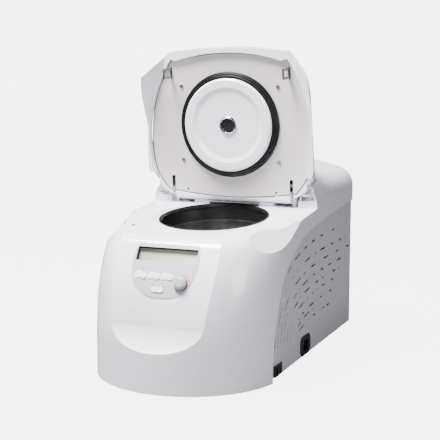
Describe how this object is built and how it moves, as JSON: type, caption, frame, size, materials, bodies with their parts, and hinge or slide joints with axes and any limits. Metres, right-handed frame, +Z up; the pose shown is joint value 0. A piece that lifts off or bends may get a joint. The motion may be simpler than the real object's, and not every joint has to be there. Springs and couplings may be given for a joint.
{
  "type": "refrigerated microcentrifuge",
  "caption": "Bench centrifuge with a chilled bowl and rotor, a domed front-to-back lid hinged open behind it, a sloping control face with display, keys and knob, and vented sides.",
  "frame": {"origin": "on the bench under the middle of the body's length and width", "axes": "+X to the user's right, +Y to the rear, +Z up"},
  "size_m": [0.304, 0.552, 0.5178],
  "materials": {
    "white_cover": "gloss moulded cover",
    "grey_panel": "satin grey paint",
    "base_paint": "satin grey paint",
    "plate_paint": "satin light grey",
    "black_seal": "smooth black rubber",
    "black_rubber": "matt black rubber",
    "bowl_steel": "satin stainless steel",
    "white_disc": "satin white plastic",
    "sight_chrome": "polished",
    "sight_glass": "dark clear lens",
    "screen": "greenish grey reflective display",
    "dark_plastic": "matt black plastic",
    "overlay_film": "light grey film",
    "key_plastic": "satin white keys",
    "knob_plastic": "grey plastic knob",
    "rocker_plastic": "gloss black",
    "pin_brass": "bright",
    "bright_steel": "bright",
    "rotor_metal": "anodised",
    "knob_metal": "dark anodised",
    "coil_copper": "copper tube",
    "foam": "rigid foam",
    "board": "green circuit board",
    "motor_paint": "dark painted casting",
    "condenser_metal": "bare fins"
  },
  "bodies": {
    "housing": {"base_plate": "base_paint", "chamber_bowl": "bowl_steel", "chamber_gasket": "black_seal", "compressor": "motor_paint", "compressor_grommets": "black_rubber", "condenser": "condenser_metal", "control_board": "board", "control_overlay": "overlay_film", "display_bezel": "dark_plastic", "display_screen": "screen", "drive_motor": "motor_paint", "evaporator_coil": "coil_copper", "fan_shroud": "dark_plastic", "hinge_axle": "bright_steel", "hinge_brackets": "base_paint", "inlet_pins": "pin_brass", "insulation_jacket": "foam", "knob_encoder": "dark_plastic", "left_lock_bracket": "base_paint", "left_side_panel": "grey_panel", "motor_plate": "bright_steel", "power_board": "board", "power_inlet": "dark_plastic", "rear_panel": "grey_panel", "right_lock_bracket": "base_paint", "right_side_panel": "grey_panel", "rubber_feet": "black_rubber", "switch_frame": "dark_plastic", "upper_housing": "white_cover", "vibration_mounts": "black_rubber"},
    "lid": {"lid_shell": "white_cover", "plate_posts": "dark_plastic", "lid_plate": "plate_paint", "lid_gasket": "black_seal", "lid_disc": "white_disc", "sight_bezel": "sight_chrome", "sight_lens": "sight_glass", "lid_screws": "bright_steel", "lid_strikers": "bright_steel", "lid_hinge_blocks": "bright_steel"},
    "rotor_assembly": {"drive_shaft": "bright_steel", "rotor": "rotor_metal", "rotor_lid": "rotor_metal", "rotor_lid_knob": "knob_metal"},
    "mode_key_1": {"mode_key_1": "key_plastic"},
    "mode_key_2": {"mode_key_2": "key_plastic"},
    "mode_key_3": {"mode_key_3": "key_plastic"},
    "start_key": {"start_key": "key_plastic"},
    "speed_knob": {"speed_knob": "knob_plastic"},
    "switch_rocker": {"switch_rocker": "rocker_plastic"},
    "left_lock_hook": {"left_lock_hook": "bright_steel"},
    "right_lock_hook": {"right_lock_hook": "bright_steel"},
    "condenser_fan": {"condenser_fan": "dark_plastic"}
  },
  "joints": [
    {"name": "lid_hinge", "type": "hinge", "parent": "housing", "child": "lid", "pos_m": [0, 0.06299, 0.28553], "axis": [1, 0, 0], "range_deg": [0, 92.51]},
    {"name": "rotor_spin", "type": "hinge", "parent": "housing", "child": "rotor_assembly", "pos_m": [0, -0.0356, 0.16], "axis": [0, 0, 1], "continuous": true},
    {"name": "mode_key_1_press", "type": "slide", "parent": "housing", "child": "mode_key_1", "axis": [0, 0.9071, -0.421], "range_m": [0, 0.0008], "stiffness_N_per_m": 900},
    {"name": "mode_key_2_press", "type": "slide", "parent": "housing", "child": "mode_key_2", "axis": [0, 0.9071, -0.421], "range_m": [0, 0.0008], "stiffness_N_per_m": 900},
    {"name": "mode_key_3_press", "type": "slide", "parent": "housing", "child": "mode_key_3", "axis": [0, 0.9071, -0.421], "range_m": [0, 0.0008], "stiffness_N_per_m": 900},
    {"name": "start_key_press", "type": "slide", "parent": "housing", "child": "start_key", "axis": [0, 0.9349, -0.3549], "range_m": [0, 0.0008], "stiffness_N_per_m": 900},
    {"name": "speed_knob_turn", "type": "hinge", "parent": "housing", "child": "speed_knob", "pos_m": [0.0322, -0.23535, 0.16492], "axis": [0, -0.9193, 0.3936], "continuous": true},
    {"name": "switch_rock", "type": "hinge", "parent": "housing", "child": "switch_rocker", "pos_m": [0.1491, -0.1345, 0.02], "axis": [0, 0, -1], "range_deg": [0, 10]},
    {"name": "right_lock_swing", "type": "hinge", "parent": "housing", "child": "right_lock_hook", "pos_m": [0.092, -0.107, 0.204], "axis": [0, 1, 0], "range_deg": [0, 20]},
    {"name": "left_lock_swing", "type": "hinge", "parent": "housing", "child": "left_lock_hook", "pos_m": [-0.092, -0.107, 0.204], "axis": [0, -1, 0], "range_deg": [0, 20]},
    {"name": "condenser_fan_spin", "type": "hinge", "parent": "housing", "child": "condenser_fan", "pos_m": [0.086, 0.178, 0.081], "axis": [1, 0, 0], "continuous": true}
  ],
  "couplings": [
    {"joint": "left_lock_swing", "follows": "right_lock_swing", "ratio": 1}
  ]
}
